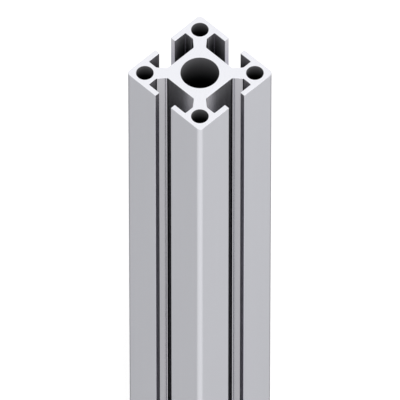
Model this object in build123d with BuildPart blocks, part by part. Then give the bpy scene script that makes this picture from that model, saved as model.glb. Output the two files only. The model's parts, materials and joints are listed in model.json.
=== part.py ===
from build123d import *
import os
from math import isclose, radians, sqrt, tan

# Square aluminium T-slot bar: one sawn length of an extruded section with a slot along each
# side, a round bore through the core and a round hole along each corner. It stands on its
# foot end: origin in the middle of that end, +Z along the length, X and Y square to the sides.

# Driving dimensions, in millimetres
side = 40.0
length = 300.0
corner_radius = 1.8

# Holes that run the whole length, and the metal left round them
bore_diameter = 15.0
core_wall = 3.0
corner_hole_diameter = 6.8
corner_wall = 1.65

# Slot mouth, the lips beside it and the diagonal webs behind it, which widen outwards
slot_opening = 8.4
lip_thickness = 2.2
web_thickness = 5.1
web_draft_degrees = 4.4

# Radii left by the die, and the edge broken round the outside of the sawn ends
lip_edge_radius = 0.2
chamber_radius = 0.4
web_root_radius = 1.0
deburr = 0.1

# How far the cut of a slot mouth runs out past the sides
overrun = 1.0

# Sizes that follow from those above
core_width = bore_diameter + 2 * core_wall
corner_block = corner_hole_diameter + 2 * corner_wall
corner_hole_pitch = side - corner_block
half_side = side / 2
half_mouth = slot_opening / 2
lip_inside = half_side - lip_thickness
chamber_side = half_side - corner_block

# A web has its thickness half-way between the core's corner and the chamber's, along the diagonal
web_middle = (core_width / 2 + chamber_side) / sqrt(2)
web_end = corner_hole_pitch / sqrt(2)
web_slope = tan(radians(web_draft_degrees))
web_half_at_centre = web_thickness / 2 - web_slope * web_middle
web_half_at_end = web_thickness / 2 + web_slope * (web_end - web_middle)

# A web's root radius is limited by the length of web between the core and the corner block
web_length = chamber_side * sqrt(2) + web_thickness - core_width / sqrt(2)
root_radius = min(web_root_radius, abs(web_length))


def nearer(vertex):
    """Distance of a vertex from the nearer of the section's two middle lines."""
    return min(abs(vertex.X), abs(vertex.Y))


def farther(vertex):
    """Distance of a vertex from the farther of the section's two middle lines."""
    return max(abs(vertex.X), abs(vertex.Y))


def at_web_root(vertex):
    """Where a web meets the core or a corner block, deep in a slot."""
    return farther(vertex) < lip_inside and not isclose(farther(vertex), lip_inside)


def at_lip_edge(vertex):
    """Outer and inner edges of the lips beside a slot mouth."""
    return isclose(nearer(vertex), half_mouth)


def at_chamber_corner(vertex):
    """Where the inside of a lip meets the side of a corner block."""
    return isclose(nearer(vertex), chamber_side) and isclose(farther(vertex), lip_inside)


def at_outer_corner(vertex):
    """The four corners of the bar."""
    return isclose(nearer(vertex), half_side)


# The section: a square frame parted by the slot mouths, a block in each corner, four diagonal
# webs and the core that they meet in, with the corners rounded and the holes cut last
with BuildPart() as bar:
    with BuildSketch() as section:
        Rectangle(side, side)
        Rectangle(2 * lip_inside, 2 * lip_inside, mode=Mode.SUBTRACT)
        with PolarLocations(0, 2, angular_range=180):
            Rectangle(side + 2 * overrun, slot_opening, mode=Mode.SUBTRACT)
        with GridLocations(corner_hole_pitch, corner_hole_pitch, 2, 2):
            Rectangle(corner_block, corner_block)
        with PolarLocations(0, 4, start_angle=45):
            Polygon(
                (0, -web_half_at_centre),
                (web_end, -web_half_at_end),
                (web_end, web_half_at_end),
                (0, web_half_at_centre),
                align=None,
            )
        Rectangle(core_width, core_width)
        fillet(section.vertices().filter_by(at_web_root), root_radius)
        fillet(section.vertices().filter_by(at_lip_edge), lip_edge_radius)
        fillet(section.vertices().filter_by(at_chamber_corner), chamber_radius)
        fillet(section.vertices().filter_by(at_outer_corner), corner_radius)
        Circle(bore_diameter / 2, mode=Mode.SUBTRACT)
        with GridLocations(corner_hole_pitch, corner_hole_pitch, 2, 2):
            Circle(corner_hole_diameter / 2, mode=Mode.SUBTRACT)
    extrude(amount=length)
    ends = bar.faces().filter_by(Axis.Z)
    chamfer([edge for end in ends for edge in end.outer_wire().edges()], deburr)

bar.part.label = "bar"
os.makedirs("parts", exist_ok=True)
export_step(bar.part, "parts/bar.step")
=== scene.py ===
import json

import bpy
import numpy as np
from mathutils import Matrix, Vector
from mathutils.geometry import delaunay_2d_cdt


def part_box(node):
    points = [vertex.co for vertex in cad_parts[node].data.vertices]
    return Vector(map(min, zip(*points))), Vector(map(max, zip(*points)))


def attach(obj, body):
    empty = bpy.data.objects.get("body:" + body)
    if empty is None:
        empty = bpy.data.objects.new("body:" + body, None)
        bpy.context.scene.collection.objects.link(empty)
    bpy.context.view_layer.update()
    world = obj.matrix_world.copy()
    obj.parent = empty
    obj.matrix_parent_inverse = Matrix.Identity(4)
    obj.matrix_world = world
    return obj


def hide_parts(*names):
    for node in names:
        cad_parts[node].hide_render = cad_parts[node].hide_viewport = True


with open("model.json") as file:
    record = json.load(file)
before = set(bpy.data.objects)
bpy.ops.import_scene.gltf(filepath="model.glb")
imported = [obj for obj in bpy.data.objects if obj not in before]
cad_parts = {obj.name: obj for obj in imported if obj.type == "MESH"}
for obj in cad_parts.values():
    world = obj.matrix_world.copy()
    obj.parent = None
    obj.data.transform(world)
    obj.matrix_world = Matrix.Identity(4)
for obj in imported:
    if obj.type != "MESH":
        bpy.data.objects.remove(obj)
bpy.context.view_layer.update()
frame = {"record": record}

# One sawn length of square T-slot bar, standing on its foot end on a white studio floor, with a finish for
# each kind of wall. All lengths are in metres.
MM = 0.001

# Outside and holes of the bar, from the frame
LOW, HIGH = (np.array(corner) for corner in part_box("bar"))
SIDE = HIGH[0] - LOW[0]
FOOT = LOW[2]
TOP = HIGH[2]
HOLES = [mount for mount in frame["record"]["mounts"] if mount["kind"] == "bore"]

# Section of the bar between its sides and its bore, and the edge broken round its ends
CORNER_RADIUS = 1.8 * MM
SLOT_OPENING = 8.4 * MM
LIP_THICKNESS = 2.2 * MM
LIP_EDGE_RADIUS = 0.2 * MM
CHAMBER_RADIUS = 0.4 * MM
CORNER_BLOCK = 10.1 * MM
WEB_THICKNESS = 5.1 * MM
WEB_DRAFT = np.radians(4.4)
WEB_ROOT_RADIUS = 1.0 * MM
CORE_WIDTH = 21.0 * MM
DEBURR = 0.1 * MM

# Painted shade in the slots and holes: how far the painted light reaches in from an end, by the place in a
# slot, and into a hole as a share of its width; deeper in, the walls' colour is painted darker
LIP_DAYLIGHT = 16.0 * MM
BEHIND_LIP_DAYLIGHT = 24.0 * MM
CHAMBER_DAYLIGHT = 11.0 * MM
WEB_DAYLIGHT = 20.0 * MM
CORE_DAYLIGHT = 40.0 * MM
HOLE_DAYLIGHT_SHARE = 1.08

# Fineness of the mesh: points of an arc and of a hole, rows near an end and along the middle
ARC_STEPS = 9
HOLE_STEPS = 96
END_ROWS = 13
MIDDLE_ROWS = 8

# Triangles of the ends: only those that the outlines enclose, with points this near in millimetres merged
INSIDE_ONLY = 1
MERGE_MM = 1e-6

# Finishes of the bar, in the order of its material slots
(SIDE_FINISH, LIP_FINISH, WEB_FINISH, ROOT_FINISH, CORE_FINISH, CHAMBER_FINISH, BORE_FINISH, EDGE_FINISH,
 END_FINISH) = range(9)

# Red, green and blue of each level of grey: aluminium leans a little to blue, and the painted shade deep in
# the slots and holes leans most
OPEN_TINT = np.array([1.0, 1.006, 1.06])
WALL_TINT = np.array([1.0, 0.99, 1.05])
SHADE_TINT = np.array([1.0, 0.985, 1.15])

# Satin metal looked at along its surface: hardly any of the glance that a polished one has
SATIN_GLANCE = (0.03, 0.03, 0.03, 1.0)

# Sockets of a Mix node that blends colours
MIX_FIRST = 6
MIX_SECOND = 7
MIX_RESULT = 2

# Lines that the die leaves along the walls, and arcs that the saw leaves across the ends
MARK_DETAIL = 2.0
DIE_LINE_SPACING = 0.4 * MM
DIE_LINE_LENGTH = 90.0 * MM
DIE_LINE_DEPTH = 0.002 * MM
SIDE_LINE_CONTRAST = 0.03
WALL_LINE_CONTRAST = 0.06
SAW_MARK_SPACING = 0.45 * MM
SAW_MARK_DEPTH = 0.002 * MM
SAW_MARK_CONTRAST = 0.015
SAW_CENTRE = (110.0 * MM, 60.0 * MM, 0.0)

# Floor, and how much it glows where it is looked at: from the bar's edge on, and more again far away. Little
# glow next to the bar's foot paints the floor darker there, as painted shadow
FLOOR_RADIUS = 2.5
FLOOR_RINGS = 24
FLOOR_SPOKES = 96
FLOOR_COLOUR = (0.9, 0.9, 0.9, 1.0)
NEAR_GLOW = 0.22
NEAR_GLOW_REACH = (20.0 * MM, 60.0 * MM)
FAR_GLOW = 0.38
FAR_GLOW_REACH = (0.3, 1.5)

# Studio light: the fill from all round, and each softbox by its place, width and power in watts
WHITE = (1.0, 1.0, 1.0, 1.0)
FILL_LIGHT = 0.55
SOFTBOX_AIM = (0.0, 0.0, 0.1)
SOFTBOXES = {
    "key": ((0.45, -0.38, 1.0), 0.5, 7.0),
    "side_fill": ((0.75, 0.75, 0.9), 0.6, 6.2),
}

# View: nearly parallel, along the section's diagonal, with the top end above the middle of the picture and a
# hair to its left
VIEW_AZIMUTH = np.radians(45.0)
VIEW_ELEVATION = np.radians(52.28)
FRAME_WIDTH = 153.7 * MM
TOP_RISE = 48.83 * MM
TOP_ASIDE = 0.05 * MM
LENS = 1650.0
SENSOR = 36.0


def rounded_outline(corners, radii, steps):
    """Closed anticlockwise outline with an arc in each corner, as points and outward normals.

    An arc starts radius * tan(turn / 2) before its corner. Its normal turns evenly from the normal of
    one side to that of the next, and its points are its centre plus the radius along the normal, or
    minus it where the outline turns inwards.
    """
    ahead = np.roll(corners, -1, axis=0) - corners
    ahead /= np.linalg.norm(ahead, axis=1, keepdims=True)
    behind = np.roll(ahead, 1, axis=0)
    cross = behind[:, 0] * ahead[:, 1] - behind[:, 1] * ahead[:, 0]
    turn = np.arctan2(cross, (behind * ahead).sum(axis=1))
    start = corners - behind * (radii * np.tan(np.abs(turn) / 2))[:, None]
    heading = np.arctan2(behind[:, 1], behind[:, 0])
    angle = heading[:, None] + turn[:, None] * np.linspace(0, 1, steps) - np.pi / 2
    normals = np.stack([np.cos(angle), np.sin(angle)], axis=-1)
    arm = (np.sign(turn) * radii)[:, None, None]
    points = start[:, None] + arm * (normals - normals[:, :1])
    return points.reshape(-1, 2), normals.reshape(-1, 2)


def web_ends(block, core):
    """Places along the block's face and along the core's where the wall of a web meets them.

    At the distance u from the centre along its diagonal, a web reaches w = at_centre + slope * u to each
    side. It meets the block's face where u - w is diagonal times block, and the core's where u + w is
    diagonal times core.
    """
    diagonal = np.sqrt(2)
    slope = np.tan(WEB_DRAFT)
    at_centre = WEB_THICKNESS / 2 - slope * (core + block) / diagonal
    at_block = diagonal * (block * diagonal + at_centre) / (1 - slope) - block
    at_core = diagonal * (core * diagonal - at_centre) / (1 + slope) - core
    return at_block, at_core


def section_outline():
    """Outside of the section: a quarter, from one corner of the bar to the next, turned four times.

    Each point has the finish of the stretch after it, the reach of its painted light, which sets the painted
    shade deeper in, and how bright its edge is: the outward corners are painted brighter, by sin(pi * t) over
    the share t of their arcs, as wear and as painted highlight.
    """
    side = SIDE / 2
    lip = side - LIP_THICKNESS
    mouth = SLOT_OPENING / 2
    block = side - CORNER_BLOCK
    core = CORE_WIDTH / 2
    web_at_block, web_at_core = web_ends(block, core)

    # Half a slot, from its mouth to the core: a lip's two edges, the chamber's corner and the web's two ends,
    # each with its radius, how far its painted light reaches before the walls are painted in shade, and the
    # finishes of its arc and of the flat after it
    half_slot = [
        ((side, -mouth), LIP_EDGE_RADIUS, LIP_DAYLIGHT, SIDE_FINISH, LIP_FINISH),
        ((lip, -mouth), LIP_EDGE_RADIUS, BEHIND_LIP_DAYLIGHT, LIP_FINISH, CHAMBER_FINISH),
        ((lip, -block), CHAMBER_RADIUS, CHAMBER_DAYLIGHT, CORE_FINISH, CHAMBER_FINISH),
        ((web_at_block, -block), WEB_ROOT_RADIUS, WEB_DAYLIGHT, WEB_FINISH, WEB_FINISH),
        ((core, -web_at_core), WEB_ROOT_RADIUS, CORE_DAYLIGHT, ROOT_FINISH, CORE_FINISH),
    ]
    lower, radii, reach, arcs, flats = zip(*half_slot)
    upper = [(x, -y) for x, y in reversed(lower)]
    quarter = np.array([(side, -side), *lower, *upper])
    quarter_radii = np.array([CORNER_RADIUS, *radii, *reversed(radii)])
    quarters = 4
    angle = np.arange(quarters) * 2 * np.pi / quarters
    turns = np.array([[np.cos(angle), -np.sin(angle)], [np.sin(angle), np.cos(angle)]])
    corners = np.einsum("ijk,nj->kni", turns, quarter).reshape(-1, 2)
    points, normals = rounded_outline(corners, np.tile(quarter_radii, quarters), ARC_STEPS)

    # The outward corners are the bar's own and the lips' outer edges, which look like the lip inside the slot
    own, first_lip, last_lip = 0, 1, -1
    half = ARC_STEPS // 2
    finishes = np.repeat([[SIDE_FINISH, *arcs, *reversed(arcs)]], ARC_STEPS, axis=0).T
    finishes[:, -1] = [SIDE_FINISH, *flats, *reversed(flats[:-1]), SIDE_FINISH]
    finishes[first_lip, half:] = LIP_FINISH
    finishes[last_lip, :half] = LIP_FINISH
    wear_and_highlight = np.zeros((len(quarter), ARC_STEPS))
    # Outward corners painted a little brighter: partly wear, partly a painted highlight
    wear_and_highlight[[own, first_lip, last_lip]] = np.sin(np.pi * np.linspace(0, 1, ARC_STEPS))
    painted_daylight = np.repeat([[LIP_DAYLIGHT, *reach, *reversed(reach)]], ARC_STEPS, axis=0).T
    return {
        "points": points,
        "normals": normals,
        "finishes": np.tile(finishes.ravel(), quarters),
        "wear_and_highlight": np.tile(wear_and_highlight.ravel(), quarters),
        "painted_daylight": np.tile(painted_daylight.ravel(), quarters),
        "broken": DEBURR,
    }


def hole_outline(mount):
    """A round hole as a clockwise circle, whose outward normals point at its axis. Its rim is sharp."""
    angle = -np.arange(HOLE_STEPS) * 2 * np.pi / HOLE_STEPS
    spokes = np.stack([np.cos(angle), np.sin(angle)], axis=1)
    radius = mount["dims"]["r_mm"] * MM
    return {
        "points": np.array(mount["pos_m"][:2]) + spokes * radius,
        "normals": -spokes,
        "finishes": np.full(HOLE_STEPS, BORE_FINISH),
        "wear_and_highlight": np.zeros(HOLE_STEPS),
        # Reach of the painted light down the hole; deeper in, its wall is painted in shade
        "painted_daylight": np.full(HOLE_STEPS, 2 * radius * HOLE_DAYLIGHT_SHARE),
        "broken": 0.0,
    }


def carry_outline(points, normals, finishes, wear_and_highlight, painted_daylight, broken):
    """Walls over one outline, carried from the foot to the top, with its edges broken by a width or sharp.

    Row r of the grid is the outline moved by -inset[r] along its normals, at height[r]. A corner's shading
    normal is the outline's own, tipped half-way to the end on the two broken edges, which have a finish of
    their own. A point's painted light share is (1 - depth / reach) squared, by its depth in from the nearer
    end; where it is low, the walls' colour is painted darker as painted shade.
    """
    lit = np.linspace(broken, painted_daylight.max(), END_ROWS)
    middle = np.linspace(FOOT + lit[-1], TOP - lit[-1], MIDDLE_ROWS)
    heights = np.concatenate([FOOT + lit, middle[1:-1], TOP - lit[::-1]])
    insets = np.zeros(len(heights))
    if broken:
        heights = np.concatenate([[FOOT], heights, [TOP]])
        insets = np.concatenate([[broken], insets, [broken]])
    depths = np.minimum(heights - FOOT, TOP - heights)
    # Painted light share: 1 at an end, falling deeper in, where the walls are painted darker as painted shade
    light = np.clip(1 - depths[:, None] / painted_daylight, 0, 1) ** 2

    count = len(points)
    plan = points[None] - normals[None] * insets[:, None, None]
    rise = np.broadcast_to(heights[:, None, None], (len(heights), count, 1))
    row = np.arange(len(heights) - 1)[:, None] * count
    here = np.arange(count)[None]
    there = (here + 1) % count
    quads = np.stack([row + here, row + there, row + there + count, row + here + count], axis=-1)

    edge = np.maximum(insets[:-1], insets[1:]) > 0
    tip = np.where(edge, np.sign(heights[:-1] + heights[1:] - FOOT - TOP), 0)
    sides = np.stack([here, there, there, here], axis=-1)[0]
    flat = np.broadcast_to(normals[sides][None], (len(tip), count, 4, 2))
    lift = np.broadcast_to(tip[:, None, None, None], (len(tip), count, 4, 1))
    shading = np.concatenate([flat, lift], axis=-1)
    shading = shading / np.linalg.norm(shading, axis=-1, keepdims=True)
    return {
        "vertices": np.concatenate([plan, rise], axis=2).reshape(-1, 3),
        "quads": quads.reshape(-1, 4),
        "shading": shading.reshape(-1, 3),
        "finishes": np.where(edge[:, None], EDGE_FINISH, finishes[None]).ravel(),
        "wear_and_highlight": np.tile(wear_and_highlight, len(heights)),
        "painted_daylight": light.ravel(),
    }


def end_triangles(loops):
    """Triangles that fill the section between its outline and its holes, as indices into the joined loops.

    A constrained Delaunay triangulation of all the loops, less the triangles whose middle lies in a hole,
    each turned anticlockwise by the sign of the cross product of two of its sides.
    """
    points = np.concatenate(loops) / MM
    starts = np.cumsum([0] + [len(loop) for loop in loops[:-1]])
    edges = [np.stack([np.arange(len(loop)), np.roll(np.arange(len(loop)), -1)], axis=1) + start
             for loop, start in zip(loops, starts)]
    places = [Vector(point) for point in points]
    borders = np.concatenate(edges).tolist()
    _, _, faces, sources, _, _ = delaunay_2d_cdt(places, borders, [], INSIDE_ONLY, MERGE_MM)
    origins = np.array([source[0] for source in sources])
    triangles = origins[np.array(faces)]

    middles = points[triangles].mean(axis=1)
    holes = loops[1:]
    centres = np.array([hole.mean(axis=0) for hole in holes]) / MM
    radii = np.array([np.linalg.norm(hole - hole.mean(axis=0), axis=1).max() for hole in holes]) / MM
    apart = np.linalg.norm(middles[:, None] - centres[None], axis=2)
    triangles = triangles[(apart > radii).all(axis=1)]
    first = points[triangles[:, 1]] - points[triangles[:, 0]]
    second = points[triangles[:, 2]] - points[triangles[:, 0]]
    clockwise = first[:, 0] * second[:, 1] < first[:, 1] * second[:, 0]
    triangles[clockwise] = triangles[clockwise][:, ::-1]
    return triangles


def fill_mesh(name, vertices, polygons, shading, finishes):
    """Mesh from whole arrays: groups of polygons, each corner's shading normal, each polygon's finish."""
    mesh = bpy.data.meshes.new(name)
    corners = np.concatenate([group.ravel() for group in polygons])
    sizes = np.concatenate([np.full(len(group), group.shape[1]) for group in polygons])
    mesh.vertices.add(len(vertices))
    mesh.vertices.foreach_set("co", vertices.ravel())
    mesh.loops.add(len(corners))
    mesh.loops.foreach_set("vertex_index", corners)
    mesh.polygons.add(len(sizes))
    mesh.polygons.foreach_set("loop_start", np.cumsum(sizes) - sizes)
    mesh.polygons.foreach_set("material_index", finishes)
    mesh.update(calc_edges=True)
    mesh.validate()
    mesh.normals_split_custom_set(shading)
    return mesh


def build_bar():
    """The bar: walls over its outline and its holes, closed by the two sawn ends."""
    outlines = [section_outline()] + [hole_outline(mount) for mount in HOLES]
    walls = [carry_outline(**outline) for outline in outlines]
    joined = {key: np.concatenate([wall[key] for wall in walls]) for key in walls[0] if key != "quads"}
    stops = np.cumsum([len(wall["vertices"]) for wall in walls])
    starts = stops - [len(wall["vertices"]) for wall in walls]
    quads = [wall["quads"] + start for wall, start in zip(walls, starts)]

    loops = [outline["points"] - outline["normals"] * outline["broken"] for outline in outlines]
    triangles = end_triangles(loops)
    foot = np.concatenate([start + np.arange(len(loop)) for start, loop in zip(starts, loops)])
    top = np.concatenate([stop - len(loop) + np.arange(len(loop)) for stop, loop in zip(stops, loops)])
    ends = [foot[triangles][:, ::-1], top[triangles]]
    up = np.tile([0.0, 0.0, 1.0], (triangles.size, 1))
    shading = np.concatenate([joined["shading"], -up, up])
    finishes = np.concatenate([joined["finishes"], np.full(2 * len(triangles), END_FINISH)])

    mesh = fill_mesh("t_slot_bar", joined["vertices"], [*quads, *ends], shading, finishes)
    # Attributes the finishes read: edges lighter as wear and painted highlight, and the painted light share
    for name in ("wear_and_highlight", "painted_daylight"):
        mesh.attributes.new(name, "FLOAT", "POINT").data.foreach_set("value", joined[name])
    bar = bpy.data.objects.new("t_slot_bar", mesh)
    bpy.context.scene.collection.objects.link(bar)
    return bar


def aluminium(level, tint):
    """Colour of aluminium at a level of grey, as linear red, green, blue and alpha."""
    return (*(level * tint), 1.0)


def shader(name):
    """New material with one Principled shader, as the material, its node tree and the shader."""
    material = bpy.data.materials.new(name)
    material.use_nodes = True
    return material, material.node_tree, material.node_tree.nodes["Principled BSDF"]


def node(tree, kind, inputs=None, **settings):
    """Add a node. An input given as a socket is linked, and any other value is set on its own socket."""
    made = tree.nodes.new(kind)
    for key, value in settings.items():
        setattr(made, key, value)
    for key, value in (inputs or {}).items():
        if isinstance(value, bpy.types.NodeSocket):
            tree.links.new(value, made.inputs[key])
        else:
            made.inputs[key].default_value = value
    return made


def ramp(tree, value, low, high, start=0.0, stop=1.0):
    """A value's rise from start to stop, spread from low to high and held level beyond."""
    limits = {"Value": value, "From Min": start, "From Max": stop, "To Min": low, "To Max": high}
    return node(tree, "ShaderNodeMapRange", limits).outputs[0]


def combine(tree, operation, first, second, clamp=False):
    """Two values added, multiplied or divided, and kept between 0 and 1 where they are clamped."""
    pair = {0: first, 1: second}
    return node(tree, "ShaderNodeMath", pair, operation=operation, use_clamp=clamp).outputs[0]


def blend_by(tree, attribute, low, high):
    """Colour from low to high by an attribute of the bar's points."""
    share = node(tree, "ShaderNodeAttribute", attribute_name=attribute)
    colours = {"Factor": share.outputs["Fac"], MIX_FIRST: low, MIX_SECOND: high}
    return node(tree, "ShaderNodeMix", colours, data_type="RGBA").outputs[MIX_RESULT]


def die_lines(tree):
    """Noise drawn out along the bar, from 0 to 1, as the lines that the die leaves."""
    place = node(tree, "ShaderNodeTexCoord")
    spacing = (1 / DIE_LINE_SPACING, 1 / DIE_LINE_SPACING, 1 / DIE_LINE_LENGTH)
    stretch = node(tree, "ShaderNodeMapping", {"Vector": place.outputs["Object"], "Scale": spacing})
    grain = {"Vector": stretch.outputs[0], "Scale": 1.0, "Detail": MARK_DETAIL}
    return node(tree, "ShaderNodeTexNoise", grain).outputs[0]


def saw_marks(tree):
    """Noise over the distance from the saw's axis, from 0 to 1, as the arcs its teeth leave on an end."""
    place = node(tree, "ShaderNodeTexCoord")
    across = {0: place.outputs["Object"], 1: (1, 1, 0)}
    level = node(tree, "ShaderNodeVectorMath", across, operation="MULTIPLY")
    ends = {0: level.outputs[0], 1: SAW_CENTRE}
    reach = node(tree, "ShaderNodeVectorMath", ends, operation="DISTANCE")
    count = combine(tree, "DIVIDE", reach.outputs["Value"], SAW_MARK_SPACING)
    grain = {"W": count, "Scale": 1.0, "Detail": MARK_DETAIL}
    return node(tree, "ShaderNodeTexNoise", grain, noise_dimensions="1D").outputs[0]


def mark_metal(tree, metal, marks, colour, contrast, roughness, depth):
    """Metal with fine marks: they vary its colour by a share, its roughness in a range, and its relief."""
    shade = ramp(tree, marks, 1 - contrast, 1 + contrast)
    colours = {"Factor": 1.0, MIX_FIRST: colour, MIX_SECOND: shade}
    tinted = node(tree, "ShaderNodeMix", colours, data_type="RGBA", blend_type="MULTIPLY")
    relief = node(tree, "ShaderNodeBump", {"Height": marks, "Distance": depth})
    tree.links.new(tinted.outputs[MIX_RESULT], metal.inputs["Base Color"])
    tree.links.new(ramp(tree, marks, *roughness), metal.inputs["Roughness"])
    tree.links.new(relief.outputs[0], metal.inputs["Normal"])


def satin_side(name, level, worn_and_highlight, roughness):
    """Sides: satin anodised aluminium with fine die lines, outer edges lighter as wear and painted highlight.
    """
    material, tree, metal = shader(name)
    # Outer edges lighter: partly wear, partly a painted highlight
    colour = blend_by(tree, "wear_and_highlight", aluminium(level, OPEN_TINT), aluminium(worn_and_highlight, OPEN_TINT))
    mark_metal(tree, metal, die_lines(tree), colour, SIDE_LINE_CONTRAST, roughness, DIE_LINE_DEPTH)
    metal.inputs["Metallic"].default_value = 1.0
    metal.inputs["Specular Tint"].default_value = SATIN_GLANCE
    return material


def slot_wall(name, deep, lit, metallic, roughness, shade=SHADE_TINT):
    """A die-drawn wall in a slot or hole, in painted shade: grey from lit at an end to deep further in."""
    material, tree, metal = shader(name)
    # Grey painted in shade: from deep to lit by each point's painted light share
    colour = blend_by(tree, "painted_daylight", aluminium(deep, shade), aluminium(lit, WALL_TINT))
    mark_metal(tree, metal, die_lines(tree), colour, WALL_LINE_CONTRAST, roughness, DIE_LINE_DEPTH)
    metal.inputs["Metallic"].default_value = metallic
    metal.inputs["Specular IOR Level"].default_value = 0.0
    return material


def sawn_metal(name, level, roughness):
    """Ends and their broken edges: sawn aluminium with the arcs of the saw across it."""
    material, tree, metal = shader(name)
    colour = aluminium(level, OPEN_TINT)
    mark_metal(tree, metal, saw_marks(tree), colour, SAW_MARK_CONTRAST, roughness, SAW_MARK_DEPTH)
    metal.inputs["Metallic"].default_value = 1.0
    return material


def seen_directly(tree):
    """1 where the camera, a reflection or a refraction looks, and 0 for light that only falls."""
    path = node(tree, "ShaderNodeLightPath")
    seen = combine(tree, "ADD", path.outputs["Is Camera Ray"], path.outputs["Is Glossy Ray"])
    return combine(tree, "ADD", seen, path.outputs["Is Transmission Ray"], clamp=True)


def white_floor():
    """Matt floor glowing white where looked at, but for the bar's shadow and a painted shadow by its foot."""
    material = bpy.data.materials.new("white_floor")
    material.use_nodes = True
    tree = material.node_tree
    tree.nodes.clear()
    place = node(tree, "ShaderNodeTexCoord")
    apart = node(tree, "ShaderNodeVectorMath", {0: place.outputs["Object"]}, operation="LENGTH")
    reach = apart.outputs["Value"]
    # Glow rises from none at the bar's foot: painted shadow round it
    near = ramp(tree, reach, 0.0, NEAR_GLOW, *NEAR_GLOW_REACH)
    far = ramp(tree, reach, 0.0, FAR_GLOW, *FAR_GLOW_REACH)
    level = combine(tree, "MULTIPLY", seen_directly(tree), combine(tree, "ADD", near, far))
    matt = node(tree, "ShaderNodeBsdfDiffuse", {"Color": FLOOR_COLOUR}).outputs[0]
    glow = node(tree, "ShaderNodeEmission", {"Color": WHITE, "Strength": level}).outputs[0]
    both = node(tree, "ShaderNodeAddShader", {0: matt, 1: glow}).outputs[0]
    node(tree, "ShaderNodeOutputMaterial", {"Surface": both})
    return material


def build_floor():
    """Round floor: a grid of radius times (cos, sin), level at the bar's foot."""
    reach = np.linspace(0, FLOOR_RADIUS, FLOOR_RINGS + 1)[1:, None]
    angle = np.arange(FLOOR_SPOKES)[None] * 2 * np.pi / FLOOR_SPOKES
    level = np.full((FLOOR_RINGS, FLOOR_SPOKES), FOOT)
    grid = np.stack([reach * np.cos(angle), reach * np.sin(angle), level], axis=-1)
    vertices = np.concatenate([[[0, 0, FOOT]], grid.reshape(-1, 3)])
    row = 1 + np.arange(FLOOR_RINGS - 1)[:, None] * FLOOR_SPOKES
    here = np.arange(FLOOR_SPOKES)[None]
    there = (here + 1) % FLOOR_SPOKES
    outer = row + FLOOR_SPOKES
    quads = np.stack([row + here, outer + here, outer + there, row + there], axis=-1).reshape(-1, 4)
    middle = np.stack([np.zeros(FLOOR_SPOKES, int), 1 + here[0], 1 + there[0]], axis=-1)
    mesh = bpy.data.meshes.new("floor")
    mesh.from_pydata(vertices.tolist(), [], quads.tolist() + middle.tolist())
    mesh.materials.append(white_floor())
    floor = bpy.data.objects.new("floor", mesh)
    bpy.context.scene.collection.objects.link(floor)


def light_world():
    """White surroundings where they are looked at, and a softer fill light elsewhere."""
    world = bpy.data.worlds.new("studio")
    world.use_nodes = True
    tree = world.node_tree
    surround = tree.nodes["Background"]
    surround.inputs["Color"].default_value = WHITE
    tree.links.new(ramp(tree, seen_directly(tree), FILL_LIGHT, 1.0), surround.inputs["Strength"])
    bpy.context.scene.world = world


def add_softbox(name, place, width, power):
    """Square area lamp at a place, facing the bar."""
    lamp = bpy.data.lights.new(name, "AREA")
    lamp.size = width
    lamp.energy = power
    softbox = bpy.data.objects.new(name, lamp)
    softbox.location = place
    softbox.rotation_euler = (Vector(SOFTBOX_AIM) - Vector(place)).to_track_quat("-Z", "Y").to_euler()
    bpy.context.scene.collection.objects.link(softbox)


def add_camera():
    """Long lens square to a frame that is FRAME_WIDTH wide where it passes through the top end."""
    side, front = np.sin(VIEW_AZIMUTH), -np.cos(VIEW_AZIMUTH)
    level, height = np.cos(VIEW_ELEVATION), np.sin(VIEW_ELEVATION)
    back = np.array([side * level, front * level, height])
    up = np.array([-side * height, -front * height, level])
    right = np.array([-front, side, 0])
    camera = bpy.data.cameras.new("camera")
    camera.lens = LENS
    camera.sensor_width = SENSOR
    view = bpy.data.objects.new("camera", camera)
    centre = np.array([0, 0, TOP]) - up * TOP_RISE + right * TOP_ASIDE
    distance = FRAME_WIDTH * LENS / SENSOR
    view.location = centre + back * distance
    view.rotation_euler = Vector(-back).to_track_quat("-Z", "Y").to_euler()
    bpy.context.scene.collection.objects.link(view)
    bpy.context.scene.camera = view


# The bar with its finishes, in the order of their names above, and the studio round it. The slot and hole
# walls' greys are painted shade, below the sides' grey and lower again with depth; the web roots' lighter
# grey is painted light
bar = build_bar()
for finish in (
    satin_side("satin_side", level=0.542, worn_and_highlight=0.557, roughness=(0.33, 0.42)),
    # Slot and hole walls: darker greys, painted shade, lower again with depth
    slot_wall("lip_tip", deep=0.3, lit=0.42, metallic=0.88, roughness=(0.24, 0.32)),
    slot_wall("slot_web", deep=0.315, lit=0.35, metallic=1.0, roughness=(0.06, 0.14), shade=WALL_TINT),
    # Web roots: a lighter grey than the webs, painted light
    slot_wall("web_root", deep=0.43, lit=0.43, metallic=1.0, roughness=(0.06, 0.14), shade=WALL_TINT),
    slot_wall("core_wall", deep=0.135, lit=0.302, metallic=0.75, roughness=(0.2, 0.28)),
    slot_wall("chamber_wall", deep=0.03, lit=0.36, metallic=0.85, roughness=(0.34, 0.42)),
    slot_wall("bore_wall", deep=0.001, lit=0.14, metallic=0.3, roughness=(0.55, 0.65)),
    sawn_metal("broken_edge", level=0.55, roughness=(0.6, 0.7)),
    sawn_metal("sawn_end", level=0.872, roughness=(0.17, 0.23)),
):
    bar.data.materials.append(finish)
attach(bar, "root")
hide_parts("bar")
build_floor()
light_world()
for name, (place, width, power) in SOFTBOXES.items():
    add_softbox(name, place, width, power)
add_camera()
bpy.context.scene.view_settings.view_transform = "Standard"
